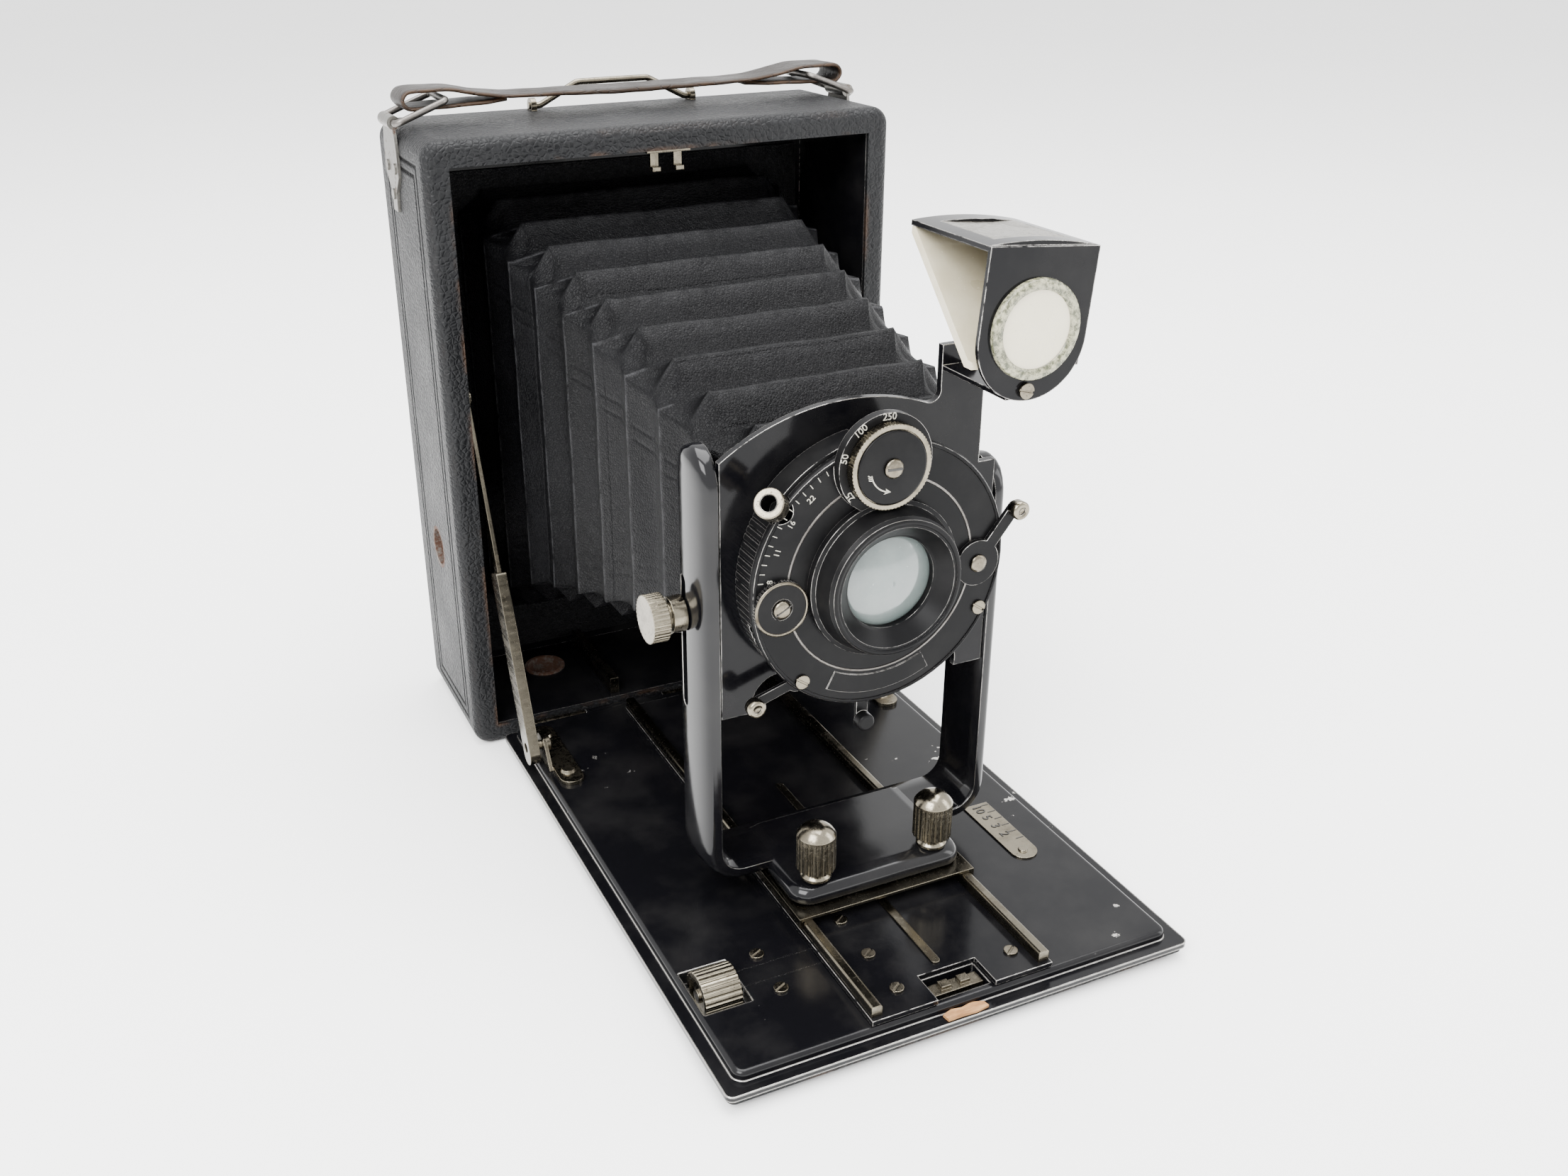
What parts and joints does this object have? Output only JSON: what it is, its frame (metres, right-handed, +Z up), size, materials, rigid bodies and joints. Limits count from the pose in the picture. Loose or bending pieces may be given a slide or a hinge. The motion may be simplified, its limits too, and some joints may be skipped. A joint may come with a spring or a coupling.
{
  "type": "folding plate camera",
  "caption": "Folding plate camera with a leather body, drop bed, U-shaped front standard, bellows, dial-set shutter, brilliant finder and hand strap.",
  "frame": {"origin": "on the table, under the middle of the whole camera with its bed down", "axes": "+X to the right as seen from the front, +Y from the lens to the back, +Z up"},
  "size_m": [0.1228, 0.1936, 0.1637],
  "materials": {
    "black_enamel": "gloss, chipped",
    "grained_leather": "grained, worn",
    "bellows_leather": "matt",
    "aged_nickel": "aged",
    "satin_enamel": "satin",
    "tripod_brass": "worn",
    "back_enamel": "satin",
    "ground_glass": "ground",
    "lens_glass": "polished",
    "mirror": "polished"
  },
  "bodies": {
    "camera_body": {"body_box": "black_enamel", "leather_cover": "grained_leather", "tripod_bushes": "tripod_brass", "body_hinge": "aged_nickel", "body_rails": "aged_nickel", "catch_plate": "aged_nickel", "rear_frame": "black_enamel", "bail_eyes": "aged_nickel", "strap_bracket_left": "aged_nickel", "strap_bracket_right": "aged_nickel", "bellows_rear": "bellows_leather"},
    "focusing_back": {"focusing_back": "back_enamel", "ground_glass": "ground_glass"},
    "hood": {"hood_lid": "back_enamel"},
    "back_bail": {"back_catch_bail": "aged_nickel"},
    "strap": {"hand_strap": "grained_leather"},
    "ring_left": {"strap_ring_left": "aged_nickel"},
    "ring_right": {"strap_ring_right": "aged_nickel"},
    "bed": {"bed_plate": "black_enamel", "bed_leather": "grained_leather", "bed_screws": "aged_nickel", "distance_scale": "aged_nickel", "strut_bracket_left": "aged_nickel", "strut_bracket_right": "aged_nickel"},
    "latch": {"bed_latch": "aged_nickel"},
    "channel_left": {"strut_channel_left": "aged_nickel"},
    "channel_right": {"strut_channel_right": "aged_nickel"},
    "blade_left": {"strut_blade_left": "aged_nickel"},
    "blade_right": {"strut_blade_right": "aged_nickel"},
    "focus_drive": {"focus_wheel": "aged_nickel", "focus_shaft": "aged_nickel"},
    "track": {"track_plate": "black_enamel", "track_rails": "aged_nickel", "center_strip": "aged_nickel", "track_screws": "aged_nickel"},
    "standard": {"slider_plate": "aged_nickel", "front_standard": "black_enamel"},
    "pinch_left": {"pinch_knob_left": "aged_nickel"},
    "pinch_right": {"pinch_knob_right": "aged_nickel"},
    "lens_panel": {"lens_board": "black_enamel", "shutter_housing": "satin_enamel", "shutter_face": "satin_enamel", "lens_barrel": "satin_enamel", "lens_glass": "lens_glass", "face_screws": "aged_nickel", "bellows_cuff": "bellows_leather"},
    "rise_screw": {"rise_knob": "aged_nickel"},
    "speed_ring": {"speed_dial": "aged_nickel"},
    "selector": {"selector_dial": "satin_enamel"},
    "cocking": {"cocking_lever": "satin_enamel"},
    "release": {"release_lever": "satin_enamel"},
    "pointer": {"aperture_pointer": "satin_enamel"},
    "finder": {"finder_housing": "back_enamel", "finder_mirror": "mirror", "finder_lens": "lens_glass", "finder_window": "aged_nickel"},
    "fold_1": {"bellows_fold_1": "bellows_leather"},
    "fold_2": {"bellows_fold_2": "bellows_leather"},
    "fold_3": {"bellows_fold_3": "bellows_leather"},
    "fold_4": {"bellows_fold_4": "bellows_leather"}
  },
  "joints": [
    {"name": "bed_fold", "type": "hinge", "parent": "camera_body", "child": "bed", "pos_m": [0, 0.0468, 0.0035], "axis": [-1, 0, 0], "range_deg": [0, 25]},
    {"name": "focus_slide", "type": "slide", "parent": "bed", "child": "track", "axis": [0, -1, 0], "range_m": [0, 0.01]},
    {"name": "standard_slide", "type": "slide", "parent": "track", "child": "standard", "axis": [0, -1, 0], "range_m": [-0.076, 0]},
    {"name": "rise_slide", "type": "slide", "parent": "standard", "child": "lens_panel", "axis": [0, 0, 1], "range_m": [-0.01, 0.006]},
    {"name": "rise_knob_turn", "type": "hinge", "parent": "lens_panel", "child": "rise_screw", "pos_m": [-0.04, -0.0373, 0.0735], "axis": [-1, 0, 0], "range_deg": [0, 360]},
    {"name": "pinch_left_slide", "type": "slide", "parent": "standard", "child": "pinch_left", "axis": [1, 0, 0], "range_m": [0, 0.002], "stiffness_N_per_m": 900, "springref_m": -0.001},
    {"name": "pinch_right_slide", "type": "slide", "parent": "standard", "child": "pinch_right", "axis": [-1, 0, 0], "range_m": [0, 0.002], "stiffness_N_per_m": 900, "springref_m": -0.001},
    {"name": "speed_dial_turn", "type": "hinge", "parent": "lens_panel", "child": "speed_ring", "pos_m": [-0.001, -0.0583, 0.1062], "axis": [0, -1, 0], "range_deg": [-150, 150]},
    {"name": "selector_turn", "type": "hinge", "parent": "lens_panel", "child": "selector", "pos_m": [-0.0224, -0.0558, 0.0798], "axis": [0, -1, 0], "range_deg": [-35, 35]},
    {"name": "cocking_turn", "type": "hinge", "parent": "lens_panel", "child": "cocking", "pos_m": [0.0218, -0.0558, 0.0808], "axis": [0, 1, 0], "range_deg": [0, 55]},
    {"name": "release_turn", "type": "hinge", "parent": "lens_panel", "child": "release", "pos_m": [-0.0165, -0.0511, 0.0602], "axis": [0, -1, 0], "range_deg": [0, 12], "stiffness_Nm_per_rad": 0.01, "springref_deg": -5.73},
    {"name": "aperture_turn", "type": "hinge", "parent": "lens_panel", "child": "pointer", "pos_m": [0, -0.0509, 0.082], "axis": [0, 1, 0], "range_deg": [-30, 18]},
    {"name": "finder_swivel", "type": "hinge", "parent": "lens_panel", "child": "finder", "pos_m": [0.0196, -0.0693, 0.1215], "axis": [0, 1, 0], "range_deg": [-5, 80]},
    {"name": "latch_slide", "type": "slide", "parent": "bed", "child": "latch", "axis": [0, 1, 0], "range_m": [0, 0.0014], "stiffness_N_per_m": 500, "springref_m": -0.001},
    {"name": "channel_left_turn", "type": "hinge", "parent": "bed", "child": "channel_left", "pos_m": [-0.0511, 0.0263, 0.0107], "axis": [1, 0, 0], "range_deg": [0, 26.2]},
    {"name": "channel_right_turn", "type": "hinge", "parent": "bed", "child": "channel_right", "pos_m": [0.0511, 0.0263, 0.0107], "axis": [1, 0, 0], "range_deg": [0, 26.2]},
    {"name": "blade_left_turn", "type": "hinge", "parent": "camera_body", "child": "blade_left", "pos_m": [-0.0511, 0.0617, 0.0916], "axis": [1, 0, 0], "range_deg": [0, 1.2]},
    {"name": "blade_right_turn", "type": "hinge", "parent": "camera_body", "child": "blade_right", "pos_m": [0.0511, 0.0617, 0.0916], "axis": [1, 0, 0], "range_deg": [0, 1.2]},
    {"name": "focus_wheel_turn", "type": "hinge", "parent": "bed", "child": "focus_drive", "pos_m": [-0.0436, -0.0699, 0.0052], "axis": [1, 0, 0], "range_deg": [0, 318.5]},
    {"name": "back_bail_swing", "type": "hinge", "parent": "camera_body", "child": "back_bail", "pos_m": [0, 0.0867, 0.1562], "axis": [1, 0, 0], "range_deg": [-80, 0]},
    {"name": "focusing_back_slide", "type": "slide", "parent": "camera_body", "child": "focusing_back", "axis": [0, 0, 1], "range_m": [0, 0.1]},
    {"name": "hood_swing", "type": "hinge", "parent": "focusing_back", "child": "hood", "pos_m": [0, 0.09605, 0.13875], "axis": [1, 0, 0], "range_deg": [0, 110]},
    {"name": "strap_lift", "type": "slide", "parent": "camera_body", "child": "strap", "axis": [0, 0, 1], "range_m": [0, 0.0039]},
    {"name": "ring_left_swing", "type": "hinge", "parent": "camera_body", "child": "ring_left", "pos_m": [-0.0598, 0.0767, 0.1565], "axis": [0, -1, 0], "range_deg": [0, 20]},
    {"name": "ring_right_swing", "type": "hinge", "parent": "camera_body", "child": "ring_right", "pos_m": [0.0598, 0.0767, 0.1565], "axis": [0, 1, 0], "range_deg": [0, 20]},
    {"name": "fold_1_turn", "type": "hinge", "parent": "camera_body", "child": "fold_1", "pos_m": [0, 0.0468, 0.0035], "axis": [-1, 0, 0], "range_deg": [0, 5.1], "deforming": ["bellows_fold_1"]},
    {"name": "fold_2_turn", "type": "hinge", "parent": "camera_body", "child": "fold_2", "pos_m": [0, 0.0468, 0.0035], "axis": [-1, 0, 0], "range_deg": [0, 10.1], "deforming": ["bellows_fold_2"]},
    {"name": "fold_3_turn", "type": "hinge", "parent": "camera_body", "child": "fold_3", "pos_m": [0, 0.0468, 0.0035], "axis": [-1, 0, 0], "range_deg": [0, 15.1], "deforming": ["bellows_fold_3"]},
    {"name": "fold_4_turn", "type": "hinge", "parent": "camera_body", "child": "fold_4", "pos_m": [0, 0.0468, 0.0035], "axis": [-1, 0, 0], "range_deg": [0, 20.1], "deforming": ["bellows_fold_4"]}
  ],
  "couplings": [
    {"joint": "channel_left_turn", "follows": "bed_fold", "ratio": 1.038},
    {"joint": "channel_right_turn", "follows": "bed_fold", "ratio": 1.038},
    {"joint": "blade_left_turn", "follows": "bed_fold", "ratio": 0.038},
    {"joint": "blade_right_turn", "follows": "bed_fold", "ratio": 0.038},
    {"joint": "focus_wheel_turn", "follows": "focus_slide", "rad_per_m": 555.56},
    {"joint": "ring_left_swing", "follows": "strap_lift", "rad_per_m": 89},
    {"joint": "ring_right_swing", "follows": "strap_lift", "rad_per_m": 89},
    {"joint": "fold_1_turn", "follows": "bed_fold", "ratio": 0.2},
    {"joint": "fold_2_turn", "follows": "bed_fold", "ratio": 0.4},
    {"joint": "fold_3_turn", "follows": "bed_fold", "ratio": 0.6},
    {"joint": "fold_4_turn", "follows": "bed_fold", "ratio": 0.8}
  ]
}
